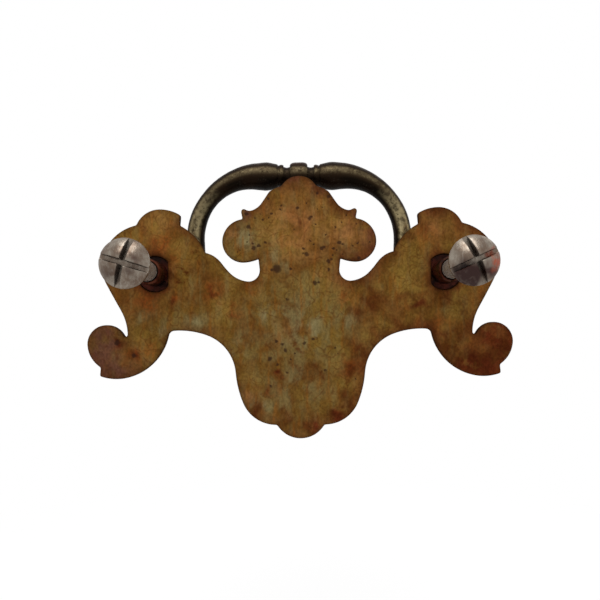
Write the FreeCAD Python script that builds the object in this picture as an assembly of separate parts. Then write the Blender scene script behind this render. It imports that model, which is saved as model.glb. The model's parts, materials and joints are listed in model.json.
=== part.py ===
import FreeCAD, Part
import math
import os

# A drawer pull: a shaped back plate, two posts through it, a swinging bail and two screws from behind.
# Millimetres. X runs from post to post, Z is up, the front of the pull faces -Y.
# The origin is on the plate's back face, half way between the posts.

V = FreeCAD.Vector
ORIGIN = V(0, 0, 0)
ALONG_X = V(1, 0, 0)
ALONG_Y = V(0, 1, 0)
FORWARD = V(0, -1, 0)

# Plate
boring = 63.5             # post centre to post centre
plate_thick = 2.0
crest_below_grip = 1.7    # top of the crest below the grip's axis when the bail stands straight up
bell_foot = 36.3          # foot of the bell below the posts' line
pattern_mm = 1.0          # length of one unit of the outline pattern below

# Keyed holes and the collars that sit in them
hole_r = 3.95
key_gap = 0.2             # between the boss and the flat on the hole's inner side
collar_gap = 0.15         # between the collar and the hole's wall
collar_recess = 0.6       # collar end below the plate's back face

# Posts
boss_r = 2.7
boss_length = 6.0         # tube behind the plate's back face
boss_chamfer = 0.3
flange_r = 5.5
flange_thick = 1.6
flange_chamfer = 0.5
neck_r = 3.0
neck_cove = 1.0           # hollow curve between the flange and the neck
head_r = 4.5
pivot_reach = 8.0         # plate's front face to the bail's axis
seat_cut = 0.5            # depth of the flat on the head where the bail enters
head_web = 1.7            # metal between the screw's bore and the bail's hole

# Screws
screw_length = 25.4       # under the head
shank_r = 2.08
thread_r = 1.9            # middle of the thread
thread_gap = 0.08         # between the thread and its tapped bore
thread_showing = 0.3      # thread that stands out of the boss
tip_chamfer = 0.5
bore_spare = 2.1          # empty bore past the screw's tip
screw_head_r = 4.65
head_rim = 0.7            # straight edge of the head
head_dome = 2.1           # rise of the dome above the rim
slot_width = 0.95
slot_depth = 2.3          # from the top of the dome
slot_turn = {"right": -17.0, "left": 24.0}    # degrees, as the screws were left

# Bail
bail_reach = 23.0         # pivot axis to the grip's axis
bail_corner_r = 14.6      # big bends between the grip and the legs
foot_bend_r = 3.0         # small bends at the feet of the legs
foot_stub = 0.35          # straight end of each foot, up to its shoulder
foot_end_r = 1.98
leg_r = 2.06
bend_r = 2.05             # half way round the big bend
arm_r = 3.15              # thickest part, beside the knuckle
arm_neck_r = 2.7
knuckle_half = 4.9
bead_r = 3.1
bead_flat = 0.8           # level part of the bead, to one side
bead_half = 2.0
bead_rim_r = 2.45
cove_r = 1.95
cove_rim_r = 2.15
ring_width = 0.95
ring_r = 2.6
ring_rim_r = 2.45
groove_width = 0.5
groove_r = 2.4
pin_r = 1.7
pin_gap = 0.08            # running clearance of the pin in the post head
pin_past_axis = 1.0       # pin end past the post's own axis
pin_end_gap = 0.5
shoulder_gap = 0.3        # between the foot's shoulder and the flat on the head
lean_gap = 0.3            # between the grip and the plate at either end of the swing

# Places that follow from the sizes
post_x = boring / 2
crest_top = bail_reach - crest_below_grip
key_flat = boss_r + key_gap
plate_front = -plate_thick
pivot_y = plate_front - pivot_reach
pin_hole_r = pin_r + pin_gap
bore_bottom = pivot_y + pin_hole_r + head_web
screw_tip = bore_bottom + bore_spare
head_under = screw_tip + screw_length
shank_start = boss_length + thread_showing
seat_x = post_x - (head_r - seat_cut)
shoulder_x = seat_x - shoulder_gap
leg_x = shoulder_x - foot_stub - foot_bend_r
grip_half = leg_x - bail_corner_r
lean = math.degrees(math.asin((pivot_reach - arm_r - lean_gap) / bail_reach))

# The outline pattern, right half, from the end of the crest's dome round to the start of the bell's scallop.
# LINE runs straight to a point, ARC passes through one point to another, and FLOW is an arc that leaves
# the edge before it without a corner. Each run is measured from its own place on the plate: (across, up).
LINE, ARC, FLOW = "line", "arc", "flow"
DOME_HALF, DOME_DROP = 3.8, 2.2
SCALLOP_HALF, SCALLOP_RISE = 5.2, 3.0
CREST = [
    (ARC, (5.2, -2.7), (6.5, -3.4)),
    (LINE, (8.2, -5.9)),
    (FLOW, (10.5, -7.55)),
    (FLOW, (11.7, -7.35)),
    (ARC, (12.45, -7.25), (12.7, -7.9)),
    (LINE, (12.4, -9.4)),
]
LOBE_AND_NOTCH = [
    (ARC, (15.4, 10.5), (16.9, 7.2)),
    (FLOW, (12.1, 2.45)),
    (FLOW, (9.0, 3.2)),
    (LINE, (8.75, 0.9)),
    (FLOW, (11.5, -1.78)),
    (FLOW, (15.3, 0.1)),
    (FLOW, (17.2, 2.35)),
]
WING = [
    (FLOW, (-11.05, 4.6)),
    (ARC, (-8.6, 8.4), (-5.5, 10.65)),
    (LINE, (-5.7, 12.9)),
    (ARC, (-3.4, 13.9), (-1.2, 14.2)),
    (FLOW, (3.95, 10.75)),
    (ARC, (7.5, 9.25), (10.3, 6.4)),
    (FLOW, (10.7, -2.0)),
    (FLOW, (7.5, -7.9)),
    (FLOW, (6.05, -13.3)),
]
SCROLL = [
    (FLOW, (6.9, -13.5)),
    (FLOW, (10.45, -11.1)),
    (FLOW, (14.9, -15.6)),
    (FLOW, (12.0, -20.4)),
    (LINE, (12.2, -22.3)),
    (ARC, (8.45, -22.97), (4.55, -22.2)),
    (FLOW, (-2.8, -13.4)),
    (FLOW, (-3.85, -12.48)),
]
BELL = [
    (FLOW, (20.5, 22.8)),
    (FLOW, (14.2, 14.5)),
    (FLOW, (12.6, 7.8)),
    (FLOW, (SCALLOP_HALF, SCALLOP_RISE)),
]


def flowing_arc(start, heading, end):
    """The arc that leaves a point along a heading and ends at another point, or the line if they are in line."""
    chord = end - start
    across = heading - chord * (heading.dot(chord) / chord.dot(chord))
    if across.Length < 1e-6:
        return Part.makeLine(start, end)
    bow = chord.Length / 2 * math.tan(heading.getAngle(chord) / 2)
    middle = (start + end) * 0.5 + across.normalize() * bow
    return Part.Arc(start, middle, end).toShape()


def chain(start, steps):
    """Edges end to end from a start point, one for each step of (kind, points)."""
    here = start
    edges = []
    for kind, *points in steps:
        if kind == LINE:
            edge = Part.makeLine(here, points[0])
        elif kind == ARC:
            edge = Part.Arc(here, points[0], points[1]).toShape()
        else:
            last = edges[-1]
            edge = flowing_arc(here, last.tangentAt(last.LastParameter), points[0])
        edges.append(edge)
        here = points[-1]
    return edges


def plate_outline():
    """The right half's runs set end to end, the left half mirrored from them, and the two arcs that cross over."""
    runs = ((CREST, 0.0, crest_top), (LOBE_AND_NOTCH, 0.0, 0.0), (WING, post_x, 0.0),
            (SCROLL, post_x, 0.0), (BELL, 0.0, -bell_foot))
    steps = []
    for run, across, up in runs:
        for kind, *points in run:
            steps.append((kind, *(V(across + x * pattern_mm, 0, up + z * pattern_mm) for x, z in points)))
    dome_end = V(DOME_HALF * pattern_mm, 0, crest_top - DOME_DROP * pattern_mm)
    scallop_end = steps[-1][-1]
    half = chain(dome_end, steps)
    other_half = [edge.mirror(ORIGIN, ALONG_X) for edge in half]
    dome = Part.Arc(V(-dome_end.x, 0, dome_end.z), V(0, 0, crest_top), dome_end).toShape()
    scallop = Part.Arc(scallop_end, V(0, 0, -bell_foot), V(-scallop_end.x, 0, scallop_end.z)).toShape()
    return Part.Wire(Part.__sortEdges__(half + other_half + [dome, scallop]))


def keyed_disc(radius, flat, back, front):
    """A round disc along Y with a flat on its -X side, from its back face to its front face."""
    disc = Part.makeCylinder(radius, back - front, V(0, back, 0), FORWARD)
    beyond_flat = Part.makeBox(radius, back - front, 2 * radius, V(-flat - radius, front, -radius))
    return disc.cut(beyond_flat)


def at_post(shape, side):
    """Moves a shape made on the Y axis to one post, turned so that its -X side faces the middle of the plate."""
    placed = shape.copy()
    if side == "left":
        placed.rotate(ORIGIN, ALONG_Y, 180)
    placed.translate(V(post_x if side == "right" else -post_x, 0, 0))
    return placed


def back_plate():
    """The flat plate with a keyed hole for each post."""
    plate = Part.Face(plate_outline()).extrude(FORWARD * plate_thick)
    hole = keyed_disc(hole_r, key_flat, 0.0, plate_front)
    for side in ("right", "left"):
        plate = plate.cut(at_post(hole, side))
    return plate


def turned(start, steps, axis):
    """A solid turned about an axis through the origin, from a closed profile."""
    closed = chain(start, steps + [(LINE, start)])
    return Part.Face(Part.Wire(closed)).revolve(ORIGIN, axis, 360)


def post():
    """One post on the Y axis: turned front, keyed collar, boss, tapped bore and the bail's cross hole."""
    flange_top = plate_front - flange_thick
    cove_part = neck_cove * (1 - math.sqrt(0.5))
    head_start = pivot_y + math.sqrt(head_r ** 2 - neck_r ** 2)
    front = turned(V(0, plate_front, 0), [
        (LINE, V(flange_r, plate_front, 0)),
        (LINE, V(flange_r, flange_top + flange_chamfer, 0)),
        (LINE, V(flange_r - flange_chamfer, flange_top, 0)),
        (LINE, V(neck_r + neck_cove, flange_top, 0)),
        (ARC, V(neck_r + cove_part, flange_top - cove_part, 0), V(neck_r, flange_top - neck_cove, 0)),
        (LINE, V(neck_r, head_start, 0)),
        (ARC, V(head_r, pivot_y, 0), V(0, pivot_y - head_r, 0)),
    ], ALONG_Y)
    collar = keyed_disc(hole_r - collar_gap, key_flat - collar_gap, -collar_recess, plate_front)
    boss = turned(V(0, plate_front, 0), [
        (LINE, V(boss_r, plate_front, 0)),
        (LINE, V(boss_r, boss_length - boss_chamfer, 0)),
        (LINE, V(boss_r - boss_chamfer, boss_length, 0)),
        (LINE, V(0, boss_length, 0)),
    ], ALONG_Y)
    solid = front.fuse([collar, boss]).removeSplitter()
    seat_back = V(-2 * head_r + seat_cut, pivot_y - neck_r, -neck_r)
    seat = Part.makeBox(head_r, 2 * neck_r, 2 * neck_r, seat_back)
    hole_length = head_r + pin_past_axis + pin_end_gap
    cross_hole = Part.makeCylinder(pin_hole_r, hole_length, V(-head_r, pivot_y, 0), ALONG_X)
    bore = Part.makeCylinder(thread_r + thread_gap, boss_length - bore_bottom, V(0, bore_bottom, 0), ALONG_Y)
    return solid.cut([seat, cross_hole, bore])


def screw(turn):
    """One screw on the Y axis: threaded end, plain shank and a domed head with two crossed slots."""
    rim_top = head_under + head_rim
    top = rim_top + head_dome
    dome_r = (screw_head_r ** 2 + head_dome ** 2) / (2 * head_dome)
    half_way = screw_head_r / 2
    half_way_up = top - dome_r + math.sqrt(dome_r ** 2 - half_way ** 2)
    solid = turned(V(0, screw_tip, 0), [
        (LINE, V(thread_r - tip_chamfer, screw_tip, 0)),
        (LINE, V(thread_r, screw_tip + tip_chamfer, 0)),
        (LINE, V(thread_r, shank_start, 0)),
        (LINE, V(shank_r, shank_start, 0)),
        (LINE, V(shank_r, head_under, 0)),
        (LINE, V(screw_head_r, head_under, 0)),
        (LINE, V(screw_head_r, rim_top, 0)),
        (ARC, V(half_way, half_way_up, 0), V(0, top, 0)),
    ], ALONG_Y)
    slot_corner = V(-screw_head_r, top - slot_depth, -slot_width / 2)
    slot = Part.makeBox(2 * screw_head_r, slot_depth, slot_width, slot_corner)
    for quarter in (0, 90):
        cutter = slot.copy()
        cutter.rotate(ORIGIN, ALONG_Y, turn + quarter)
        solid = solid.cut(cutter)
    return solid


def bail_section(x, up, heading, radius):
    """A round section of the bail in the XZ plane, heading in degrees down from +X."""
    circle = Part.Wire(Part.makeCircle(radius, ORIGIN, ALONG_X))
    circle.rotate(ORIGIN, ALONG_Y, heading)
    circle.translate(V(x, 0, up))
    return circle


def bail_arm():
    """The right arm from the knuckle, round the big bend, down the leg and out at the foot to its shoulder."""
    sections = [
        bail_section(knuckle_half, bail_reach, 0, arm_neck_r),
        bail_section((knuckle_half + grip_half) / 2, bail_reach, 0, arm_r),
    ]
    bend_up = bail_reach - bail_corner_r
    tapers = ((0, arm_r, 0.15), (22.5, arm_r, 0.7), (45, arm_r, 1.0), (67.5, leg_r, 0.6), (90, leg_r, 0.2))
    for angle, end_r, share in tapers:
        turn = math.radians(angle)
        x = grip_half + bail_corner_r * math.sin(turn)
        up = bend_up + bail_corner_r * math.cos(turn)
        sections.append(bail_section(x, up, angle, end_r + (bend_r - end_r) * share))
    for angle, share in ((90, 0.0), (45, 0.5), (0, 1.0)):
        turn = math.radians(angle)
        x = leg_x + foot_bend_r * (1 - math.sin(turn))
        up = foot_bend_r * (1 - math.cos(turn))
        sections.append(bail_section(x, up, angle, leg_r + (foot_end_r - leg_r) * share))
    sections.append(bail_section(shoulder_x, 0, 0, foot_end_r))
    return Part.makeLoft(sections, True)


def bail_knuckle():
    """The turned middle of the grip: a rounded bead between two coves, then a ring and a groove each side."""
    ring_start = knuckle_half - ring_width - groove_width
    ring_end = knuckle_half - groove_width
    right = turned(ORIGIN, [
        (LINE, V(0, 0, bead_r)),
        (LINE, V(bead_flat, 0, bead_r)),
        (FLOW, V(bead_half, 0, bead_rim_r)),
        (LINE, V(bead_half, 0, cove_rim_r)),
        (ARC, V((bead_half + ring_start) / 2, 0, cove_r), V(ring_start, 0, cove_rim_r)),
        (LINE, V(ring_start, 0, ring_rim_r)),
        (ARC, V((ring_start + ring_end) / 2, 0, ring_r), V(ring_end, 0, ring_rim_r)),
        (LINE, V((ring_end + knuckle_half) / 2, 0, groove_r)),
        (LINE, V(knuckle_half, 0, arm_neck_r)),
        (LINE, V(knuckle_half, 0, 0)),
    ], ALONG_X)
    knuckle = right.fuse(right.mirror(ORIGIN, ALONG_X)).removeSplitter()
    knuckle.translate(V(0, 0, bail_reach))
    return knuckle


def bail():
    """The whole bail on the pivot, swung up and leaning back until its grip is beside the crest."""
    pin_length = post_x + pin_past_axis - shoulder_x
    right = [bail_arm(), Part.makeCylinder(pin_r, pin_length, V(shoulder_x, 0, 0), ALONG_X)]
    left = [piece.mirror(ORIGIN, ALONG_X) for piece in right]
    whole = bail_knuckle().fuse(right + left)
    whole.rotate(ORIGIN, ALONG_X, -lean)
    whole.translate(V(0, pivot_y, 0))
    return whole


nodes = {"back_plate": back_plate(), "bail": bail()}
for side in ("right", "left"):
    nodes[side + "_post"] = at_post(post(), side)
    nodes[side + "_screw"] = at_post(screw(slot_turn[side]), side)

os.makedirs("parts", exist_ok=True)
for name, shape in nodes.items():
    shape.exportStep("parts/" + name + ".step")
    print(name, "solids", len(shape.Solids), "valid", shape.isValid(), "mm3", round(shape.Volume, 1))
print("lean", round(lean, 3), "swing", round(180 + 2 * lean, 3))
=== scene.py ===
import json
import math

import bmesh
import bpy
import numpy as np
from mathutils import Matrix, Vector
from mathutils.geometry import delaunay_2d_cdt


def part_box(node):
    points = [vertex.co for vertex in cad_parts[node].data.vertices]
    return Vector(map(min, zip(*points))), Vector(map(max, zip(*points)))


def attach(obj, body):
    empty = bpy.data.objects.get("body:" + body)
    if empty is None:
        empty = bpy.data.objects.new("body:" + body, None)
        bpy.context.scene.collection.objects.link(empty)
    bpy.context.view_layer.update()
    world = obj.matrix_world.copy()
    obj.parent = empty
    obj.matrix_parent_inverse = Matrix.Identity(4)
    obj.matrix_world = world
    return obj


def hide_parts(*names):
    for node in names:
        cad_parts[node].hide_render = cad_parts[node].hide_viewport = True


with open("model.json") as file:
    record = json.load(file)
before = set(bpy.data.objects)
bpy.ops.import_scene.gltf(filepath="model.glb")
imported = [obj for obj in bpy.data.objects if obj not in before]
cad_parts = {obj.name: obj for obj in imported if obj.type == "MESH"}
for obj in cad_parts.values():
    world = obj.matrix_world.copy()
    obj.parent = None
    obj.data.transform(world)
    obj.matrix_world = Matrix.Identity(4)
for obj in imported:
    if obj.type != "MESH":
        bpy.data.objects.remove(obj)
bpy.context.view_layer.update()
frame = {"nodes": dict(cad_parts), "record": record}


# Back plate
# A thin brass casting, sawn and filed to its outline. Its back was left as cast and has aged to a mottled
# brown, with dark specks where the metal is porous. Two keyed holes take the posts.

MM = 0.001
plate_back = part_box("back_plate")[1].y / MM
plate_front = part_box("back_plate")[0].y / MM
post_x = sum(corner.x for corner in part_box("right_post")) / 2 / MM
rim_step = 0.3
back_round = 0.22
front_round = 0.7
bend_share = 0.7
least_room = 0.1
back_net = 0.29
front_net = 0.9
sag = 0.05
sag_start = 2.0
pit_depth = 0.04
rim_line = 0.3
margin_reach = 2.4
hole_stain = 1.6
stain_drift = 0.6
speck_shake = 0.1

# Marks on the back, in millimetres from the middle of the posts' line: across, up and radius. A stain's
# fourth number is its strength.
dark_specks = [
    (11.1, 10.1, 0.48), (9.6, 12.1, 0.26), (11.5, 13.0, 0.39), (10.0, 5.5, 0.48), (8.9, 6.0, 0.39),
    (7.4, 6.6, 0.33), (10.2, 6.4, 0.22), (13.1, 5.1, 0.22), (13.5, 4.6, 0.18), (11.5, 6.9, 0.18),
    (10.9, 8.4, 0.18), (8.0, 11.7, 0.18), (14.6, 8.4, 0.18), (8.5, 13.0, 0.18), (6.1, 13.0, 0.31),
    (6.7, 12.1, 0.22), (3.9, 14.7, 0.28), (4.1, 13.9, 0.22), (0.4, 14.1, 0.35), (-2.3, 11.9, 0.48),
    (-2.7, 12.3, 0.28), (-1.6, 15.2, 0.18), (6.7, 16.3, 0.26), (-6.6, 16.7, 0.39), (-4.0, 17.4, 0.33),
    (-4.0, 13.9, 0.18), (-5.1, 14.3, 0.18), (-3.6, 10.6, 0.18), (-9.3, 11.0, 0.2), (-10.4, 12.5, 0.22),
    (-7.9, 9.9, 0.28), (-5.8, 8.2, 0.18), (-12.5, 10.6, 0.18), (-2.5, 6.9, 0.18), (-3.1, 6.2, 0.18),
    (-4.9, 5.3, 0.44), (-5.5, 5.6, 0.35), (-0.9, 5.3, 0.26), (-1.6, 4.0, 0.48), (-0.9, 4.2, 0.22),
    (-6.4, 2.5, 0.48), (-7.0, 2.9, 0.31), (-6.4, 0.7, 0.35), (-7.3, 3.8, 0.2), (-8.8, 6.6, 0.44),
    (-9.5, 6.2, 0.26), (-7.5, 5.3, 0.28), (-8.2, 4.9, 0.22), (-12.8, 6.4, 0.28), (-15.4, 6.6, 0.2),
    (-11.7, 5.8, 0.18), (-9.5, 4.0, 0.18), (-13.0, 3.1, 0.35), (-3.4, -2.2, 0.48), (-4.2, -2.1, 0.33),
    (5.0, 0.9, 0.92), (6.1, 0.6, 0.33), (1.9, 0.9, 0.24), (2.8, -5.8, 0.31), (5.2, -15.0, 0.28),
    (3.9, -15.6, 0.28), (3.3, -17.0, 0.42), (1.2, -17.7, 0.22), (6.7, -18.8, 0.46), (5.1, -20.1, 0.33),
    (2.9, -21.9, 0.26), (2.1, -19.0, 0.2), (6.5, -24.7, 0.31), (-0.9, -15.4, 0.39), (-2.8, -14.6, 0.31),
    (-7.7, -16.6, 0.26), (-8.2, -17.7, 0.18), (-5.5, -21.4, 0.33), (-12.1, -23.4, 0.22), (40.1, -15.0, 0.6),
    (36.5, -17.8, 0.45),
]
red_stains = [
    (28.8, 3.2, 1.0, 0.5), (34.7, -6.1, 1.2, 0.35), (28.2, -6.5, 0.8, 0.6), (18.8, -4.5, 0.9, 0.6),
    (14.6, -9.1, 1.1, 0.4), (-31.8, -4.6, 2.3, 0.7), (-26.1, -7.2, 2.2, 0.75), (40.1, -15.0, 1.2, 0.9),
    (36.3, -18.0, 1.2, 0.6), (-22.2, -5.4, 1.5, 0.4), (-27.7, 0.9, 2.2, 0.35), (-35.8, -6.1, 2.0, 0.4),
    (-43.6, -14.5, 6.0, 1.0), (-44.2, -17.5, 5.0, 1.0), (-37.0, -20.5, 5.0, 1.0), (-41.4, -21.8, 5.0, 1.0),
    (-32.0, -17.5, 2.0, 0.6), (-30.9, -13.7, 1.8, 0.5), (-10.6, -21.8, 2.0, 0.6), (-10.6, -28.6, 2.4, 0.65),
    (-7.9, -31.7, 2.0, 0.85), (-2.9, -33.7, 2.0, 0.85), (3.0, -32.3, 2.0, 0.5), (4.8, -22.0, 0.9, 0.85),
    (6.7, -26.2, 1.1, 0.45), (-16.0, -6.5, 2.8, 0.5), (-12.5, -8.7, 2.0, 0.35), (-0.7, 11.0, 1.3, 0.4),
    (5.8, 16.9, 1.3, 0.5), (10.7, -2.3, 1.3, 0.35), (-13.0, -15.9, 1.3, 0.5), (-21.1, -10.9, 3.1, 0.45),
    (-16.7, -13.7, 2.2, 0.5), (9.6, -30.2, 1.8, 0.5),
]
plum_stains = [
    (0.6, 20.6, 2.0, 0.9), (3.4, 19.3, 1.1, 0.6), (-4.9, 18.5, 2.0, 0.8), (-7.7, 16.5, 1.3, 0.6),
    (-12.8, 13.2, 1.1, 1.0), (12.2, 13.2, 1.1, 1.0), (-16.3, 8.8, 1.5, 0.9), (-15.4, 5.3, 1.8, 0.9),
    (-12.3, 3.4, 1.5, 0.6), (43.5, -14.8, 5.0, 1.0), (44.4, -17.5, 4.5, 1.0), (40.9, -21.0, 4.0, 0.95),
    (39.6, -13.1, 1.8, 0.7), (36.9, -21.8, 2.2, 0.6), (-26.1, 12.3, 0.9, 0.8), (33.5, -19.8, 1.8, 0.4),
]
grey_stains = [
    (0.0, -12.0, 12.0, 0.7), (1.0, -24.5, 9.0, 0.62), (6.3, -9.6, 4.0, 0.85), (12.9, -16.1, 3.6, 0.75),
    (8.0, -21.0, 2.6, 0.45), (-2.5, -11.5, 5.2, 0.85), (-10.1, -10.4, 3.4, 0.75), (-2.5, -24.9, 2.8, 0.5),
    (3.4, -26.0, 2.2, 0.6), (9.3, -27.7, 3.2, 0.95), (6.7, -29.7, 1.6, 0.8), (-2.9, -29.3, 2.6, 0.4),
    (12.9, 7.7, 4.2, 1.0), (6.3, 4.0, 2.6, 0.8), (3.6, 1.6, 2.2, 0.7), (-9.7, 4.9, 2.2, 0.55),
    (-6.0, 7.1, 1.5, 0.4), (-3.6, -2.1, 2.4, 0.5), (2.8, 0.3, 1.8, 0.5), (21.6, -1.0, 2.0, 0.4),
    (23.0, -10.2, 3.2, 0.85), (30.0, -12.6, 3.0, 0.85), (34.6, -9.6, 1.8, 0.7), (-33.6, -14.8, 1.8, 0.5),
    (-30.9, -7.6, 2.0, 0.4), (7.2, -2.1, 1.5, 0.4),
]
rust_stains = [
    (29.8, 6.3, 2.6, 0.8), (27.6, 3.4, 1.6, 0.7), (33.1, -5.5, 2.8, 0.75), (27.6, -6.1, 1.1, 0.8),
    (18.9, -4.1, 2.0, 0.65), (36.1, -17.6, 1.5, 0.7), (32.8, -16.2, 1.8, 0.5), (14.5, -8.3, 1.6, 0.5),
    (-0.7, 8.5, 2.4, 0.22), (1.5, 12.6, 1.8, 0.2), (10.2, -3.1, 1.6, 0.5), (4.8, -22.0, 0.8, 0.8),
    (-11.0, -20.8, 1.8, 0.6), (-9.8, -5.6, 1.2, 0.6), (-27.5, 8.2, 2.0, 0.5), (-30.1, -10.9, 1.6, 0.5),
    (6.6, -26.3, 1.0, 0.6),
]
ochre_stains = [
    (-10.1, 9.7, 3.2, 1.0), (-13.6, 7.6, 2.4, 0.6), (0.6, 9.7, 5.9, 0.7), (15.0, 8.8, 1.3, 0.6),
    (30.4, 12.3, 4.8, 0.3), (31.5, 6.5, 3.6, 0.3), (-29.2, 9.7, 3.9, 0.4), (10.7, -26.2, 1.8, 0.6),
    (4.1, -12.6, 2.2, 0.35), (-6.9, -0.6, 3.1, 0.35), (-0.3, 14.7, 3.1, 0.4),
]

# Stained lines and cracks on the back: width, strength, and the places that each one goes through.
veins = [
    (0.35, 1.0, [(28.6, 4.4), (28.0, 2.3), (25.8, 1.2), (24.5, 0.1), (25.1, -1.5), (27.1, -1.9)]),
    (0.6, 0.5, [(27.3, -3.9), (27.7, -5.4), (28.2, -6.7), (28.6, -8.5)]),
    (0.3, 0.8, [(27.7, 3.6), (25.6, 3.8), (22.3, 4.7)]),
    (0.5, 0.45, [(21.2, -4.1), (20.3, -3.0), (18.8, -2.6), (17.5, -3.4), (17.0, -5.0), (18.1, -6.5),
                 (19.9, -6.7), (21.2, -4.1)]),
    (0.6, 0.35, [(14.4, -4.5), (15.0, -7.2), (14.8, -10.0)]),
    (0.8, 0.4, [(12.6, -3.2), (12.4, -5.4), (13.1, -8.3)]),
    (0.55, 0.85, [(2.1, -13.5), (1.0, -15.7), (-0.3, -17.7), (-2.0, -19.2), (-3.8, -21.0), (-5.1, -23.1),
                  (-4.4, -24.7)]),
    (0.5, 0.6, [(2.1, -19.6), (0.4, -21.0), (-0.5, -22.9)]),
    (0.5, 0.35, [(1.2, -24.2), (-0.3, -25.8), (-2.5, -26.4)]),
    (0.7, 0.6, [(-10.1, -4.8), (-9.5, -6.3), (-8.2, -7.4)]),
    (0.5, 0.45, [(-6.0, -24.5), (-7.9, -24.0), (-9.5, -22.0), (-11.0, -20.3)]),
    (0.5, 0.4, [(3.9, -8.7), (2.6, -6.7), (1.0, -7.4), (0.4, -10.0), (1.0, -13.5)]),
    (0.5, 0.4, [(3.9, -1.0), (2.3, -3.0), (0.4, -4.5)]),
    (0.8, 0.4, [(11.8, -24.9), (9.6, -25.3), (7.2, -24.7)]),
    (0.4, 0.25, [(10.0, -7.4), (8.0, -6.7), (5.2, -6.5), (1.9, -6.9), (-1.4, -7.4)]),
    (0.5, 0.4, [(-27.4, -5.2), (-22.2, -5.6), (-18.9, -6.1)]),
    (0.6, 0.7, [(-41.4, -16.4), (-42.3, -13.9), (-44.1, -13.1), (-45.4, -14.4), (-44.7, -16.6),
                (-43.2, -17.5)]),
    (0.4, 0.6, [(-32.7, -12.6), (-31.6, -14.4), (-32.3, -16.4), (-34.0, -16.6), (-35.1, -15.0),
                (-34.4, -13.1), (-32.7, -12.6)]),
]


def points_of(mesh):
    """A mesh's points as an array, in millimetres."""
    flat = np.zeros(len(mesh.vertices) * 3, np.float32)
    mesh.vertices.foreach_get("co", flat)
    return flat.reshape(-1, 3).astype(float) / MM


def rim_loops(mesh, level):
    """The closed rims of a mesh's flat face at one level along Y, longest first, as (across, up) in
    millimetres. A rim is made of the sides that only one triangle of the face uses, walked end to end."""
    spots, merged = np.unique(points_of(mesh).round(4), axis=0, return_inverse=True)
    mesh.calc_loop_triangles()
    triangles = np.zeros(len(mesh.loop_triangles) * 3, np.int32)
    mesh.loop_triangles.foreach_get("vertices", triangles)
    triangles = merged.ravel()[triangles].reshape(-1, 3)
    face = triangles[(abs(spots[triangles][:, :, 1] - level) < 1e-3).all(1)]
    sides = np.concatenate([face[:, [0, 1]], face[:, [1, 2]], face[:, [2, 0]]])
    sides = {tuple(side) for side in sides.tolist()}
    onward = {start: end for start, end in sides if (end, start) not in sides}
    loops = []
    while onward:
        walk = [min(onward)]
        while walk[-1] in onward:
            walk.append(onward.pop(walk[-1]))
        loops.append(spots[walk[:-1]][:, [0, 2]])
    return sorted(loops, key=len, reverse=True)


def even_loop(loop, step):
    """A closed line resampled at even steps, then averaged with its neighbours so that corners are as soft as
    filed ones."""
    closed = np.vstack([loop, loop[:1]])
    length = np.concatenate([[0.0], np.hypot(*np.diff(closed, axis=0).T).cumsum()])
    at = np.linspace(0.0, length[-1], round(length[-1] / step), endpoint=False)
    even = np.stack([np.interp(at, length, closed[:, k]) for k in (0, 1)], 1)
    return (np.roll(even, 1, 0) + 2 * even + np.roll(even, -1, 0)) / 4


def into_metal(loop):
    """At each point of a rim, the unit direction into the metal and the room there: how far the rim can be
    moved in before it crosses itself, which is a share of the radius of an outward bend, spread to its
    neighbours."""
    along = np.roll(loop, -1, 0) - np.roll(loop, 1, 0)
    gap = np.hypot(*along.T)[:, None]
    along = along / gap
    inward = np.stack([along[:, 1], -along[:, 0]], 1)
    bend = ((np.roll(along, -1, 0) - np.roll(along, 1, 0)) * inward).sum(1) / gap[:, 0]
    room = np.clip(bend_share / np.maximum(bend, 1e-6), least_room, front_round)
    reach = math.ceil(front_round / rim_step) + 1
    room = np.minimum.reduce([np.roll(room, k) for k in range(-reach, reach + 1)])
    return inward, np.mean([np.roll(room, k) for k in range(-reach, reach + 1)], 0)


def grid_faces(rows, columns):
    """The quads of a grid whose columns close on themselves."""
    row = np.arange(rows - 1)[:, None] * columns
    column = np.arange(columns)[None]
    after = (column + 1) % columns
    below = row + columns
    return np.stack([row + column, row + after, below + after, below + column], 2).reshape(-1, 4)


def is_inside(points, loops):
    """True for points that a line to one side crosses the rims an odd number of times."""
    start = np.concatenate(loops)
    end = np.concatenate([np.roll(loop, -1, 0) for loop in loops])
    slope = (end[:, 0] - start[:, 0]) / (end[:, 1] - start[:, 1] + 1e-12)
    found = []
    for some in np.array_split(points, len(points) // 1000 + 1):
        across, up = some[:, :1], some[:, 1:]
        crossed = (start[:, 1] > up) != (end[:, 1] > up)
        found.append((crossed & (across < start[:, 0] + slope * (up - start[:, 1]))).sum(1) % 2 == 1)
    return np.concatenate(found)


def distance_to(points, loops):
    """Distance from each point to the nearest point of the rims."""
    rims = np.concatenate(loops)
    parts = np.array_split(points, len(points) // 1000 + 1)
    return np.concatenate([np.hypot(part[:, :1] - rims[:, 0], part[:, 1:] - rims[:, 1]).min(1)
                           for part in parts])


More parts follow.
